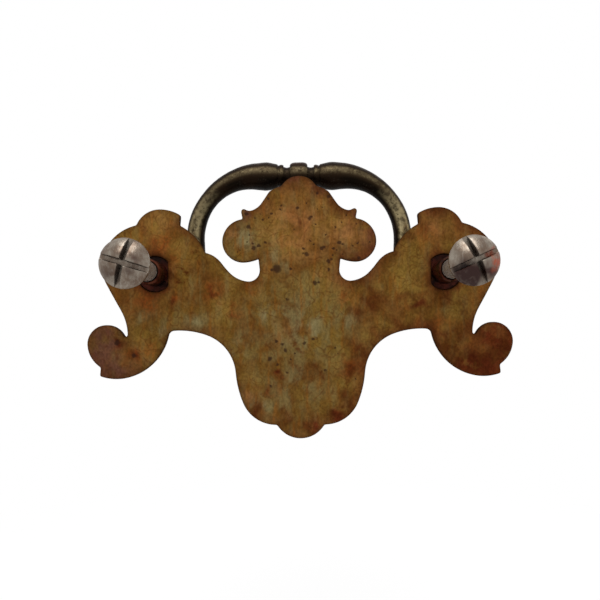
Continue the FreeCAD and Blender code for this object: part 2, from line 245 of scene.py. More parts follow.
def face_net(loops, spacing, extra):
    """Triangles over the flat between rims: a Delaunay net through the rims, a lattice of that spacing and
    extra points."""
    low, high = loops[0].min(0), loops[0].max(0)
    across, up = np.meshgrid(np.arange(low[0], high[0], spacing),
                             np.arange(low[1], high[1], spacing * math.sqrt(0.75)))
    across[1::2] += spacing / 2
    lattice = np.concatenate([np.stack([across.ravel(), up.ravel()], 1), extra])
    lattice = lattice[is_inside(lattice, loops)]
    lattice = lattice[distance_to(lattice, loops) > spacing * 0.5]
    counts = np.cumsum([0] + [len(loop) for loop in loops])
    sides = np.concatenate([np.stack([np.arange(a, b), np.roll(np.arange(a, b), -1)], 1)
                            for a, b in zip(counts, counts[1:])])
    points = np.concatenate(loops + [lattice])
    net = delaunay_2d_cdt([Vector(p) for p in points.tolist()], sides.tolist(), [], 0, 1e-5)
    points = np.array([p[:] for p in net[0]])
    triangles = np.array(net[2])
    return points, triangles[is_inside(points[triangles].mean(1), loops)]


def ripple(points, size, seed):
    """Smooth irregular heights, mostly between -1 and 1: the sum of plane waves about a size apart in random
    directions."""
    draw = np.random.default_rng(seed)
    waves = 24
    ways = draw.normal(size=(points.shape[1], waves))
    ways *= 2 * math.pi / size * draw.uniform(0.6, 1.6, waves) / np.linalg.norm(ways, axis=0)
    return np.cos(points @ ways + draw.uniform(0, 2 * math.pi, waves)).sum(1) / math.sqrt(waves)


def shaken(points, size, seed):
    """A small move across and up for each point: two ripples."""
    return np.stack([ripple(points, size, seed), ripple(points, size, seed + 1)], 1)


def bell(away, reach):
    """A bell curve of distance over reach: 1 at no distance."""
    return np.exp(-(away / reach) ** 2)


def stained(points, stains):
    """How much of a stain each point has: the strongest of the stains, each a bell curve of distance over
    radius."""
    across, up, radius, strength = np.array(stains).T
    away = np.hypot(points[:, :1] - across, points[:, 1:] - up)
    return (strength * bell(away, radius)).max(1)


def specked(points, specks):
    """How much of a dark speck each point has: 1 inside, falling off over the outer part of its radius."""
    across, up, radius = np.array(specks).T
    away = np.hypot(points[:, :1] - across, points[:, 1:] - up) / radius
    return np.clip(1.4 - away, 0, 1).max(1)


def traced(points, lines):
    """How much of a line each point has: the strongest of the lines, each a bell curve of the distance to it
    over its width. The distance is that to the nearest of the straight pieces between its places."""
    found = np.zeros(len(points))
    for width, strength, places in lines:
        start = np.array(places[:-1])
        along = np.array(places[1:]) - start
        from_start = points[:, None] - start
        share = np.clip((from_start * along).sum(2) / (along ** 2).sum(1), 0, 1)
        away = np.linalg.norm(from_start - share[:, :, None] * along, axis=2).min(1)
        found = np.maximum(found, strength * bell(away, width))
    return found


def mark(mesh, name, values):
    """Keeps one number for each point of a mesh under a name that its material can read."""
    mesh.attributes.new(name, "FLOAT", "POINT").data.foreach_set("value", values.astype(np.float32))


def joined_mesh(name, sheets):
    """One mesh from sheets of (points in millimetres, faces) and, if any, numbers kept for each point under a
    name. Rims that meet are merged and every face is turned outwards."""
    build = bmesh.new()
    for points, faces, *marks in sheets:
        sheet = bpy.data.meshes.new(name)
        sheet.from_pydata((points * MM).tolist(), [], faces.tolist())
        for key, values in (marks[0] if marks else {}).items():
            mark(sheet, key, values)
        build.from_mesh(sheet)
        bpy.data.meshes.remove(sheet)
    bmesh.ops.remove_doubles(build, verts=build.verts, dist=1e-6)
    bmesh.ops.recalc_face_normals(build, faces=build.faces)
    mesh = bpy.data.meshes.new(name)
    build.to_mesh(mesh)
    build.free()
    return mesh


def smoothed(mesh, sharp_degrees):
    """Smooth shading with creases at edges sharper than an angle."""
    mesh.shade_smooth()
    mesh.set_sharp_from_angle(angle=math.radians(sharp_degrees))
    return mesh


def shown(name, mesh, material):
    """A piece of the object: a mesh with one material, at the origin."""
    mesh.materials.append(material)
    made = bpy.data.objects.new(name, mesh)
    bpy.context.scene.collection.objects.link(made)
    return made


def plate_mesh():
    """Rims carried through a rounded edge profile, and a net over each face. The back sags a little and has
    pits. Stains show on both faces, mirrored on the front. Specks and veins are on the back alone."""
    solid = frame["nodes"]["back_plate"].data
    loops = [even_loop(loop, rim_step) for loop in rim_loops(solid, plate_back)]
    quarter = np.linspace(0, math.pi / 2, 5)
    inset = np.concatenate([back_round * (1 - np.sin(quarter)), front_round * (1 - np.cos(quarter))])
    along = np.concatenate([plate_back - back_round * (1 - np.cos(quarter)),
                            plate_front + front_round * (1 - np.sin(quarter))])
    sheets = []
    rims = {"back": [], "front": []}
    for loop in loops:
        inward, room = into_metal(loop)
        moved = loop + inward * np.minimum(inset[:, None], room)[:, :, None]
        level = np.broadcast_to(along[:, None, None], moved[:, :, :1].shape)
        sheet = np.concatenate([moved[:, :, :1], level, moved[:, :, 1:]], 2)
        sheets.append((sheet.reshape(-1, 3), grid_faces(*moved.shape[:2])))
        rims["back"].append(moved[0])
        rims["front"].append(moved[-1])
    specks = np.array(dark_specks)
    turn = np.linspace(0, 2 * math.pi, 9, endpoint=False)
    ring = np.stack([np.cos(turn), np.sin(turn)], 1)
    rings = np.concatenate([[[0.0, 0.0]]] + [share * ring for share in (0.5, 1.0, 1.5)])
    extra = (specks[:, None, :2] + specks[:, None, 2:] * rings).reshape(-1, 2)
    middle = (plate_back + plate_front) / 2
    for side, spacing, level in (("back", back_net, plate_back), ("front", front_net, plate_front)):
        flat, triangles = face_net(rims[side], spacing, extra if side == "back" else extra[:0])
        off_rim = np.clip(distance_to(flat, rims[side]) / sag_start, 0, 1) ** 2
        sunk = off_rim * sag * (1 + 0.5 * ripple(flat, 11.0, 3) + 0.25 * ripple(flat, 4.0, 4))
        if side == "back":
            sunk = sunk + off_rim * pit_depth * specked(flat, dark_specks)
        depth = level - np.sign(level - middle) * np.maximum(sunk, 0)
        sheets.append((np.stack([flat[:, 0], depth, flat[:, 1]], 1), triangles))
    mesh = joined_mesh("aged_plate", sheets)
    points = points_of(mesh)
    places = points[:, [0, 2]]
    on_back = points[:, 1] > middle
    drift = np.where(on_back[:, None], places, places * (-1, 1)) + stain_drift * shaken(places, 4.0, 11)
    shake = speck_shake * shaken(places, 0.9, 5)
    from_rim = distance_to(places, loops[:1])
    from_hole = distance_to(places, loops[1:])
    mark(mesh, "rim", np.exp(-np.minimum(from_rim, from_hole) / rim_line))
    mark(mesh, "margin", bell(from_rim, margin_reach) * np.clip(0.7 - drift[:, 0] / 40, 0.3, 1))
    mark(mesh, "speck", specked(places + shake, dark_specks) * on_back)
    mark(mesh, "vein", traced(places + 2.5 * shake, veins) * on_back)
    mark(mesh, "red", np.maximum(stained(drift, red_stains), 0.6 * bell(from_hole, hole_stain)))
    kinds = {"rust": rust_stains, "plum": plum_stains, "grey": grey_stains, "ochre": ochre_stains}
    for name, stains in kinds.items():
        mark(mesh, name, stained(drift, stains))
    return smoothed(mesh, 50)


def tone(red, green, blue):
    """A colour as it looks on a screen, 0 to 255, in the linear light that shaders use."""
    seen = np.array([red, green, blue]) / 255
    return (*np.where(seen <= 0.04045, seen / 12.92, ((seen + 0.055) / 1.055) ** 2.4).tolist(), 1.0)


def node(tree, kind, inputs=None, **settings):
    """One shader node. inputs gives each socket, by name or number, a value or the socket that feeds it."""
    made = tree.nodes.new(kind)
    for name, value in settings.items():
        setattr(made, name, value)
    for socket, value in (inputs or {}).items():
        if isinstance(value, bpy.types.NodeSocket):
            tree.links.new(value, made.inputs[socket])
        else:
            made.inputs[socket].default_value = value
    return made


def layered(tree, share, under, over, way="MIX"):
    """One colour over another by a share from 0 to 1."""
    made = node(tree, "ShaderNodeMix", {0: share, 6: under, 7: over}, data_type="RGBA", blend_type=way)
    return made.outputs[2]


def coated(tree, colour, *coats):
    """A colour with coats over it in turn, each given as its share from 0 to 1 and its own colour."""
    for share, over in coats:
        colour = layered(tree, share, colour, over)
    return colour


def reckoned(tree, way, first, second, held=True):
    """Two numbers put together by ADD, SUBTRACT, MAXIMUM and so on, and held between 0 and 1 unless told not
    to."""
    return node(tree, "ShaderNodeMath", {0: first, 1: second}, operation=way, use_clamp=held).outputs[0]


def times(tree, first, second):
    """Two masks multiplied."""
    return reckoned(tree, "MULTIPLY", first, second)


def ease(tree, value, low, high):
    """A number turned into a soft step: 0 at low, 1 at high."""
    limits = {"Value": value, "From Min": low, "From Max": high}
    return node(tree, "ShaderNodeMapRange", limits, interpolation_type="SMOOTHSTEP").outputs[0]


def between(tree, mask, low, high):
    """A mask from 0 to 1 turned into a number from low to high."""
    return node(tree, "ShaderNodeMapRange", {"Value": mask, "To Min": low, "To Max": high}).outputs[0]


def worn_by(tree, name):
    """A number that the piece's mesh keeps for each point."""
    return node(tree, "ShaderNodeAttribute", attribute_name=name).outputs["Fac"]


def placed(tree, stretch=(1.0, 1.0, 1.0), turn=(0.0, 0.0, 0.0)):
    """Places on the piece in metres, with the pattern squeezed and turned."""
    spot = node(tree, "ShaderNodeTexCoord").outputs["Object"]
    return node(tree, "ShaderNodeMapping", {"Vector": spot, "Scale": stretch, "Rotation": turn}).outputs[0]


def noise(tree, place, scale, detail, roughness=0.5):
    """A noise at a place: its value, then its colour. Detail is how many finer noises are laid over it."""
    values = {"Vector": place, "Scale": scale, "Detail": detail, "Roughness": roughness}
    return node(tree, "ShaderNodeTexNoise", values).outputs


def effect(name, inputs, outputs):
    """An empty node group that takes a place and named numbers and gives named numbers: its tree, its input
    node and its output node."""
    tree = bpy.data.node_groups.new(name, "ShaderNodeTree")
    tree.interface.new_socket("Place", in_out="INPUT", socket_type="NodeSocketVector")
    for way, sockets in (("INPUT", inputs), ("OUTPUT", outputs)):
        for socket in sockets:
            tree.interface.new_socket(socket, in_out=way, socket_type="NodeSocketFloat")
    return tree, tree.nodes.new("NodeGroupInput"), tree.nodes.new("NodeGroupOutput")


def with_effect(tree, group, inputs):
    """A node group placed in a material with its own values."""
    return node(tree, "ShaderNodeGroup", inputs, node_tree=group).outputs


def tarnish_cloud():
    """Cloudy tarnish: a noise whose place is pushed about by a second, larger noise, so that its edges swirl.
    Cloud fills the range with soft edges. Lines are thin contour lines of a smoother noise in the same
    place."""
    tree, given, result = effect("tarnish_cloud", ["Scale", "Swirl", "Detail"], ["Cloud", "Lines"])
    place, scale, swirl, detail = given.outputs[:4]
    wide = reckoned(tree, "MULTIPLY", scale, 0.45, False)
    push = noise(tree, place, wide, 3.0)["Color"]
    middle = (0.5, 0.5, 0.5)
    centred = node(tree, "ShaderNodeVectorMath", {0: push, 1: middle}, operation="SUBTRACT").outputs[0]
    far = node(tree, "ShaderNodeVectorMath", {0: centred, "Scale": swirl}, operation="SCALE").outputs[0]
    moved = node(tree, "ShaderNodeVectorMath", {0: place, 1: far}, operation="ADD").outputs[0]
    cloud = noise(tree, moved, scale, detail, 0.55)[0]
    tree.links.new(ease(tree, cloud, 0.36, 0.64), result.inputs["Cloud"])
    smooth = noise(tree, moved, wide, 1.5)[0]
    wave = reckoned(tree, "PINGPONG", reckoned(tree, "MULTIPLY", smooth, 9.0, False), 0.5, False)
    tree.links.new(ease(tree, wave, 0.11, 0.0), result.inputs["Lines"])
    return tree


def pore_specks():
    """Small uneven pores at random places: the distance to scattered points, cut off at a random size for
    each."""
    tree, given, result = effect("pore_specks", ["Scale", "Share"], ["Speck"])
    place, scale, share = given.outputs[:3]
    busy = reckoned(tree, "MULTIPLY", scale, 2.5, False)
    rough = noise(tree, place, busy, 2.0)[0]
    cells = node(tree, "ShaderNodeTexVoronoi", {"Vector": place, "Scale": scale}).outputs
    chance = node(tree, "ShaderNodeSeparateColor", {0: cells["Color"]}).outputs[0]
    size = reckoned(tree, "SUBTRACT", share, chance, False)
    uneven = reckoned(tree, "MULTIPLY", reckoned(tree, "MULTIPLY", size, rough, False), 2.0, False)
    edge = reckoned(tree, "SUBTRACT", uneven, cells["Distance"], False)
    tree.links.new(ease(tree, edge, 0.0, 0.14), result.inputs["Speck"])
    return tree


def rub_marks():
    """Fine rub marks: a noise drawn out along one way by the place it is given, kept where it is high."""
    tree, given, result = effect("rub_marks", ["Scale"], ["Mark"])
    place, scale = given.outputs[:2]
    lines = noise(tree, place, scale, 4.0)[0]
    tree.links.new(ease(tree, lines, 0.5, 0.7), result.inputs["Mark"])
    return tree


cloud_group = tarnish_cloud()
speck_group = pore_specks()
rub_group = rub_marks()


def clouds(tree, place, scale, swirl, detail):
    """The cloudy tarnish at one scale: its Cloud and its Lines."""
    return with_effect(tree, cloud_group, {"Place": place, "Scale": scale, "Swirl": swirl, "Detail": detail})


def pores(tree, place, scale, share):
    """A mask of small pores. Share is how many of the places have one, and how large."""
    return with_effect(tree, speck_group, {"Place": place, "Scale": scale, "Share": share})["Speck"]


def rubs(tree, place, scale):
    """A mask of fine rub marks."""
    return with_effect(tree, rub_group, {"Place": place, "Scale": scale})["Mark"]


def new_finish(name):
    """A new material, its node tree and its main shader."""
    material = bpy.data.materials.new(name)
    material.use_nodes = True
    return material, material.node_tree, material.node_tree.nodes["Principled BSDF"]


def grained(tree, grain, share, holes):
    """A relief from 0 to 1: a middle level raised by a share of the grain, and sunk where there are holes."""
    return reckoned(tree, "SUBTRACT", reckoned(tree, "ADD", times(tree, grain, share), 0.4), holes)


def dressed(tree, shader, colour, rough, relief, strength=0.5, height=0.00008):
    """Feeds a shader its colour, its roughness and a relief, which is a bump of that height in metres."""
    bump = {"Strength": strength, "Distance": height, "Height": relief}
    raised = node(tree, "ShaderNodeBump", bump).outputs[0]
    for socket, value in (("Base Color", colour), ("Roughness", rough), ("Normal", raised)):
        tree.links.new(value, shader.inputs[socket])


def aged_plate():
    """Brown patina in layers: olive and brown clouds, grey-green bloom, brown and olive streaks, ochre where
    it is rubbed, plum, rusty and red-brown stains, veins and swirling lines, fine mottling, upright rub
    marks, specks, and a dark line along the rim, partly tarnish and partly painted shade of the rounded edge,
    where the metal doesn't shine."""
    material, tree, shader = new_finish("aged_plate_brass")
    spot = placed(tree)
    tilted = placed(tree, (1.0, 1.0, 0.75), (0, 0.5, 0))
    broad = clouds(tree, spot, 110.0, 0.009, 3.0)
    mid = clouds(tree, tilted, 270.0, 0.006, 3.5)
    other = clouds(tree, placed(tree, (0.8, 1.0, 1.0), (0, 2.1, 0)), 360.0, 0.005, 3.5)
    fine = clouds(tree, tilted, 1900.0, 0.0006, 4.0)
    grey, ochre, rim = (worn_by(tree, name) for name in ("grey", "ochre", "rim"))
    bloom = times(tree, ease(tree, mid["Cloud"], -0.3, 0.9), reckoned(tree, "ADD", grey, 0.18))
    bloom_colour = layered(tree, ease(tree, grey, 0.3, 1.1), tone(89, 79, 47), tone(118, 108, 74))
    upright = rubs(tree, placed(tree, (1.0, 1.0, 0.16), (0, 0.12, 0)), 800.0)
    slanted = rubs(tree, placed(tree, (1.0, 1.0, 0.2), (0, -0.6, 0)), 620.0)
    golden = times(tree, ochre, ease(tree, other["Cloud"], -0.4, 1.0))
    plum = times(tree, worn_by(tree, "plum"), ease(tree, mid["Cloud"], -0.9, 0.7))
    rusty = times(tree, worn_by(tree, "rust"), ease(tree, fine["Cloud"], -0.8, 0.8))
    margin = times(tree, worn_by(tree, "margin"), 0.6)
    reddest = reckoned(tree, "MAXIMUM", times(tree, worn_by(tree, "red"), 1.15), margin)
    red = times(tree, reckoned(tree, "ADD", reddest, 0.07), ease(tree, other["Cloud"], -0.9, 0.6))
    deep = times(tree, red, ease(tree, mid["Cloud"], 0.8, 0.1))
    swirl = times(tree, mid["Lines"], ease(tree, other["Cloud"], 0.2, 0.9))
    hair = times(tree, other["Lines"], ease(tree, broad["Cloud"], 0.3, 0.9))
    faint = times(tree, reckoned(tree, "MAXIMUM", swirl, hair), 0.45)
    drawn = times(tree, worn_by(tree, "vein"), ease(tree, other["Cloud"], -0.2, 0.8))
    colour = coated(tree, layered(tree, broad["Cloud"], tone(95, 59, 22), tone(119, 91, 37)),
                    (bloom, bloom_colour),
                    (times(tree, upright, 0.5), tone(121, 74, 24)),
                    (times(tree, slanted, 0.5), tone(108, 92, 54)),
                    (golden, tone(149, 104, 60)),
                    (plum, tone(83, 54, 42)),
                    (rusty, tone(122, 60, 22)),
                    (red, tone(81, 35, 16)),
                    (times(tree, deep, 0.45), tone(50, 20, 8)),
                    (reckoned(tree, "MAXIMUM", faint, drawn), tone(74, 36, 12)))
    colour = layered(tree, 0.15, colour, mid["Cloud"], "OVERLAY")
    colour = layered(tree, 0.16, colour, fine["Cloud"], "OVERLAY")
    rubbed = rubs(tree, placed(tree, (1.0, 1.0, 0.08), (0, 0.06, 0)), 1500.0)
    bright = times(tree, rubbed, reckoned(tree, "ADD", ochre, 0.05))
    small = times(tree, pores(tree, spot, 900.0, 0.26), reckoned(tree, "ADD", ochre, 0.2))
    large = times(tree, ease(tree, worn_by(tree, "speck"), 0.0, 0.8), ease(tree, fine["Cloud"], -1.6, 0.4))
    pitted = reckoned(tree, "MAXIMUM", times(tree, large, 0.82), times(tree, small, 0.6))
    colour = coated(tree, colour,
                    (times(tree, bright, 0.55), tone(150, 106, 52)),
                    (pitted, tone(44, 27, 20)),
                    # Tarnish and painted shade along the rounded rim and the holes' edges.
                    (times(tree, rim, 0.85), tone(44, 25, 13)))
    rough = between(tree, mid["Cloud"], 0.45, 0.6)
    dressed(tree, shader, colour, rough, grained(tree, fine["Cloud"], 0.5, pitted))
    tree.links.new(times(tree, reckoned(tree, "SUBTRACT", 1.0, rim), 0.4), shader.inputs["Metallic"])
    shader.inputs["Specular IOR Level"].default_value = 0.0
    return material


plate = shown("aged_plate", plate_mesh(), aged_plate())
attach(plate, "plate")
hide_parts("back_plate")


# Posts
# Two cast and turned brass posts. The keyed collar sits in the plate's hole and the flange on its front.
# The ball head has a cross hole for the bail's end, and the boss behind is tapped. They are dark red-brown.

boss_r = 2.7
boss_length = 6.0
boss_chamfer = 0.3
boss_rows = 16
boss_dent = 0.14
bore_r = 1.98
bore_bottom = -6.52
bore_chamfer = 0.2
collar_r = 3.8
collar_flat = 2.75
collar_recess = 0.6
flange_r = 5.5
flange_thick = 1.6
flange_round = 0.5
flange_break = 0.12
neck_r = 3.0
neck_cove = 1.0
head_r = 4.5
seat_cut = 0.5
pin_hole_r = 1.78
hole_past_axis = 1.5
cast_depth = 0.02
pivot_y = frame["record"]["behaviour"]["joints"][0]["pos_m"][1] / MM


def turned(profile, angles):
    """A profile of (radius, along) turned about Y: a grid of points, one row for each point of the profile.
    Each of the two may also be a whole row of numbers, one for each angle."""
    rows = [np.stack([radius * np.cos(angles), np.full_like(angles, along), radius * np.sin(angles)], 1)
            for radius, along in profile]
    return np.concatenate(rows), grid_faces(len(rows), len(angles))


def cut_away(mesh, cutter):
    """A mesh with a second, closed mesh's solid taken out of it."""
    made = [bpy.data.objects.new(part.name, part) for part in (mesh, cutter)]
    for part in made:
        bpy.context.scene.collection.objects.link(part)
    change = made[0].modifiers.new("cut", "BOOLEAN")
    change.operation = "DIFFERENCE"
    change.solver = "EXACT"
    change.object = made[1]
    result = bpy.data.meshes.new_from_object(made[0].evaluated_get(bpy.context.evaluated_depsgraph_get()))
    for part in made:
        bpy.data.objects.remove(part)
    bpy.data.meshes.remove(mesh)
    bpy.data.meshes.remove(cutter)
    return result


def cast_dents(points, size, fine_size, fine_depth, seed):
    """How far a cast surface lies below its true form, in millimetres: wide dents with finer ones in them."""
    wide = cast_depth + cast_depth * ripple(points, size, seed)
    return np.maximum(wide + fine_depth * ripple(points, fine_size, seed + 1), 0)


def post_mesh(name, side):
    """A profile turned about the post's axis, with the collar's radius held to a flat on the plate's middle
    side. The front and the boss are dented as cast, and the seat and the cross hole are cut from the ball.
    Side is 1 for the right post and -1 for the left."""
    angles = np.linspace(0, 2 * math.pi, 120, endpoint=False)
    keyed = np.minimum(collar_r, collar_flat / np.maximum(-np.cos(angles), 0.05))
    quarter = np.linspace(0, math.pi / 2, 7)
    around = np.linspace(math.asin(neck_r / head_r), math.pi, 40)
    flange_top = plate_front - flange_thick
    profile = [(0.0, bore_bottom), (bore_r, bore_bottom), (bore_r, boss_length - bore_chamfer)]
    profile += [(bore_r + bore_chamfer, boss_length), (boss_r - boss_chamfer, boss_length)]
    boss_wall = np.linspace(boss_length - boss_chamfer, -collar_recess, boss_rows)
    profile += [(boss_r, along) for along in boss_wall]
    profile += [(keyed, -collar_recess), (keyed, plate_front)]
    profile += [(flange_r - flange_break, plate_front), (flange_r, plate_front - flange_break)]
    closing, opening = 1 - np.cos(quarter), 1 - np.sin(quarter)
    profile += zip(flange_r - flange_round * closing, flange_top + flange_round * opening)
    profile += zip(neck_r + neck_cove * opening, flange_top - neck_cove * closing)
    profile += zip(head_r * np.sin(around), pivot_y + head_r * np.cos(around))
    points, faces = turned(profile, angles)
    radius = np.hypot(points[:, 0], points[:, 2])
    on_front = (radius > neck_r * 0.9) & (points[:, 1] < plate_front - 0.5)
    on_boss = (abs(radius - boss_r) < 1e-3) & (points[:, 1] > 0.1 - collar_recess)
    dents = boss_dent * np.clip(0.3 + 0.7 * ripple(points, 2.2, 23), 0, 1)
    sunk = np.where(on_front, cast_dents(points, 5.0, 1.6, 0.008, 21) / head_r, 0)
    sunk += np.where(on_boss, dents / boss_r, 0)
    points *= 1 - sunk[:, None] * (1, 0, 1)
    place = (side * post_x, 0.0, 0.0)
    body = joined_mesh(name, [(points * (side, 1, 1) + place, faces)])
    seat = head_r - seat_cut
    clear = head_r + 1
    bore = [(0.0, -clear), (head_r, -clear), (head_r, -seat), (pin_hole_r, -seat)]
    bore += [(pin_hole_r, hole_past_axis), (0.0, hole_past_axis)]
    points, faces = turned(bore, angles[::2] + 0.01)
    hole = points[:, [1, 0, 2]] * (side, 1, 1) + (side * post_x, pivot_y, 0.0)
    mesh = cut_away(body, joined_mesh("cross_hole", [(hole, faces)]))
    mesh.name = name
    places = points_of(mesh) - place
    radius = np.hypot(places[:, 0], places[:, 2])
    # Wear on the flange's rim and the ball's front; the copper rings on the boss's end and the collar's face
    # are painted highlights.
    edge = bell(radius - flange_r, 0.5) + 0.45 * bell(places[:, 1] - boss_length, 0.35)
    collar = bell(radius - collar_flat - 0.5, 0.25) * (abs(places[:, 1] + collar_recess) < 0.1)
    front = np.clip((pivot_y - places[:, 1]) / head_r, 0, 1)
    mark(mesh, "wear_and_highlight", np.clip(edge + 0.5 * collar + 0.6 * front, 0, 1))
    # Painted shade: the inside of the bore is marked to be made nearly black.
    in_bore = (radius < boss_r - boss_chamfer - 0.1) & (places[:, 1] > bore_bottom - 0.1)
    mark(mesh, "bore", in_bore.astype(float))
    return smoothed(mesh, 32)


def dark_post():
    """Red-brown tarnish, nearly black in the pores, and nearly black in the bore, which is painted shade. It
    is rubbed to copper brown on edges and on the ball's front, and the copper brown rings on the boss's end
    and the collar's face are painted highlights."""
    material, tree, shader = new_finish("dark_post_brass")
    spot = placed(tree)
    broad = clouds(tree, spot, 300.0, 0.003, 5.0)["Cloud"]
    fine = clouds(tree, spot, 1100.0, 0.001, 5.0)["Cloud"]
    rubbed = times(tree, worn_by(tree, "wear_and_highlight"), ease(tree, fine, -0.2, 0.9))
    pitted = pores(tree, spot, 1500.0, 0.3)
    colour = coated(tree, layered(tree, broad, tone(24, 9, 6), tone(66, 24, 13)),
                    (times(tree, fine, 0.4), tone(26, 12, 9)),
                    # Copper brown wear, and painted highlights on the boss's end and the collar's face.
                    (times(tree, rubbed, 0.7), tone(114, 62, 32)),
                    (times(tree, pitted, 0.7), tone(20, 10, 8)),
                    # Painted shade inside the bore.
                    (worn_by(tree, "bore"), tone(14, 7, 5)))
    dressed(tree, shader, colour, between(tree, fine, 0.3, 0.5), grained(tree, fine, 0.4, pitted))
    shader.inputs["Metallic"].default_value = 0.5
    shader.inputs["Specular IOR Level"].default_value = 0.12
    return material


post_material = dark_post()
right_post = shown("right_post_casting", post_mesh("right_post_casting", 1), post_material)
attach(right_post, "plate")
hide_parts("right_post")
left_post = shown("left_post_casting", post_mesh("left_post_casting", -1), post_material)
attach(left_post, "plate")
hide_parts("left_post")


# Bail
# One brass casting, round in section and thickest beside the turned knuckle in the middle of its grip.
# Both ends turn outward into the post heads. Its hollow side is painted nearly black as shade, and its outer
# side is rubbed, with a painted highlight along it.

bail_reach = 23.0
corner_r = 14.6
foot_bend_r = 3.0
leg_x = 24.1
shoulder_x = 27.45
pin_end = 32.75
pin_r = 1.7
pin_break = 0.2
leg_r = 2.06
bend_r = 2.05
arm_r = 3.15
arm_neck_r = 2.7
foot_end_r = 1.98
knuckle_half = 4.9
bead_flat = 0.8
bead_half = 2.0
bead_r = 3.1
bead_rim_r = 2.45
cove_r = 1.95
cove_rim_r = 2.15
ring_start = 3.45
ring_end = 4.4
ring_r = 2.6
ring_rim_r = 2.45
groove_r = 2.4
# Share of the rubbed band and painted highlight that the right leg shows.
right_leg_band_share = 0.72
bail_lean = math.radians((frame["record"]["behaviour"]["joints"][0]["range_deg"][1] - 180) / 2)


def bulge(start, end, low, high):
    """Part of a profile: a half wave from one place to another that goes from one radius to a second and
    back."""
    share = np.linspace(0, 1, 13)
    return np.stack([start + (end - start) * share, low + (high - low) * np.sin(math.pi * share)], 1)


def curve_through(places, values, at):
    """A smooth curve through given values: cubic pieces whose slope at each value is that of its two
    neighbours."""
    places, values = np.array(places), np.array(values)
    slope = np.gradient(values, places)
    piece = np.clip(np.searchsorted(places, at) - 1, 0, len(places) - 2)
    gap = places[piece + 1] - places[piece]
    t = (at - places[piece]) / gap
    start = (1 + 2 * t) * (1 - t) ** 2 * values[piece] + t * (1 - t) ** 2 * gap * slope[piece]
    return start + t ** 2 * (3 - 2 * t) * values[piece + 1] + t ** 2 * (t - 1) * gap * slope[piece + 1]


def bail_mesh():
    """A round section carried along the bail's line: straight grip, wide bend, leg, foot bend and end pin.
    The radius follows the turned knuckle, then swells and thins along the arm. The whole is leaned to where
    it rests."""
    grip_half = leg_x - corner_r
    bend = corner_r * math.pi / 2
    leg = bail_reach - corner_r - foot_bend_r
    foot = foot_bend_r * math.pi / 2
    turns = np.cumsum([0, grip_half, bend, leg, foot, pin_end - leg_x - foot_bend_r])
    shoulder = turns[4] + shoulder_x - leg_x - foot_bend_r
    quarter = np.linspace(0, math.pi / 2, 9)
    bead = np.stack([bead_flat + (bead_half - bead_flat) * np.sin(quarter),
                     bead_rim_r + (bead_r - bead_rim_r) * np.cos(quarter)], 1)
    knuckle = np.concatenate([[[0.0, bead_r], [bead_flat / 2, bead_r]], bead,
                              bulge(bead_half, ring_start, cove_rim_r, cove_r),
                              bulge(ring_start, ring_end, ring_rim_r, ring_r),
                              [[(ring_end + knuckle_half) / 2, groove_r]]])
    at = np.concatenate([np.linspace(knuckle_half, grip_half, 20), np.linspace(turns[1], turns[2], 70)[1:],
                         np.linspace(turns[2], turns[3], 14)[1:], np.linspace(turns[3], shoulder, 30)[1:]])
    sections = [(knuckle_half, arm_neck_r), ((knuckle_half + grip_half) / 2, arm_r)]
    sections += [(turns[1] + bend * share, arm_r + (bend_r - arm_r) * thinner)
                 for share, thinner in ((0, 0.15), (0.25, 0.7), (0.5, 1), (0.75, 1))]
    sections += [(turns[2], leg_r), (turns[3], leg_r)]
    sections += [((turns[3] + turns[4]) / 2, (leg_r + foot_end_r) / 2), (shoulder, foot_end_r)]
    arm = np.stack([at, curve_through(*zip(*sections), at)], 1)
    pin = [[shoulder, pin_r], [turns[5] - pin_break, pin_r], [turns[5], pin_r - pin_break], [turns[5], 0.0]]
    half = np.concatenate([knuckle, arm, pin])
    along = np.concatenate([-half[:0:-1, 0], half[:, 0]])
    radius = np.concatenate([half[:0:-1, 1], half[:, 1]])
    fine = np.linspace(0, turns[5], 4000)
    step = np.diff(fine)
    headings = np.radians([0, 0, 90, 90, 0, 0])
    heading = np.interp((fine[1:] + fine[:-1]) / 2, turns, headings)
    gone_x, gone_z = (np.concatenate([[0], (step * way(heading)).cumsum()]) for way in (np.cos, np.sin))
    line_x = np.interp(abs(along), fine, gone_x) * np.sign(along)
    line_z = bail_reach - np.interp(abs(along), fine, gone_z)
    heading = np.interp(abs(along), turns, headings) * np.sign(along)
    angles = np.linspace(0, 2 * math.pi, 56, endpoint=False)
    outer = np.outer(np.ones_like(along), np.cos(angles))
    away = radius[:, None] * outer
    points = np.stack([line_x[:, None] + away * np.sin(heading)[:, None], radius[:, None] * np.sin(angles),
                       line_z[:, None] + away * np.cos(heading)[:, None]], 2).reshape(-1, 3)
    centre = np.repeat(np.stack([line_x, 0 * line_x, line_z], 1), len(angles), 0)
    sunk = cast_dents(points, 6.0, 2.0, 0.01, 31) / arm_r
    points = centre + (points - centre) * (1 - sunk)[:, None]
    lean_y = points[:, 1] * math.cos(bail_lean) + points[:, 2] * math.sin(bail_lean) + pivot_y
    lean_z = points[:, 2] * math.cos(bail_lean) - points[:, 1] * math.sin(bail_lean)
    points = np.stack([points[:, 0], lean_y, lean_z], 1)
    legs = np.clip((abs(along) - grip_half - bend * 0.4) / (bend * 0.5), 0, 1)
    legs = legs * np.where(along > 0, right_leg_band_share, 1)
    low = np.clip((2.5 - radius) / 0.35, 0, 1) * (abs(along) < knuckle_half)
    marks = {"outer": outer.ravel(), "leg": np.outer(legs, 0.8 + 0.2 * np.sin(angles)).ravel(),
             "low": np.repeat(low, len(angles))}
    mesh = joined_mesh("bail_casting", [(points, grid_faces(len(along), len(angles)), marks)])
    return smoothed(mesh, 40)


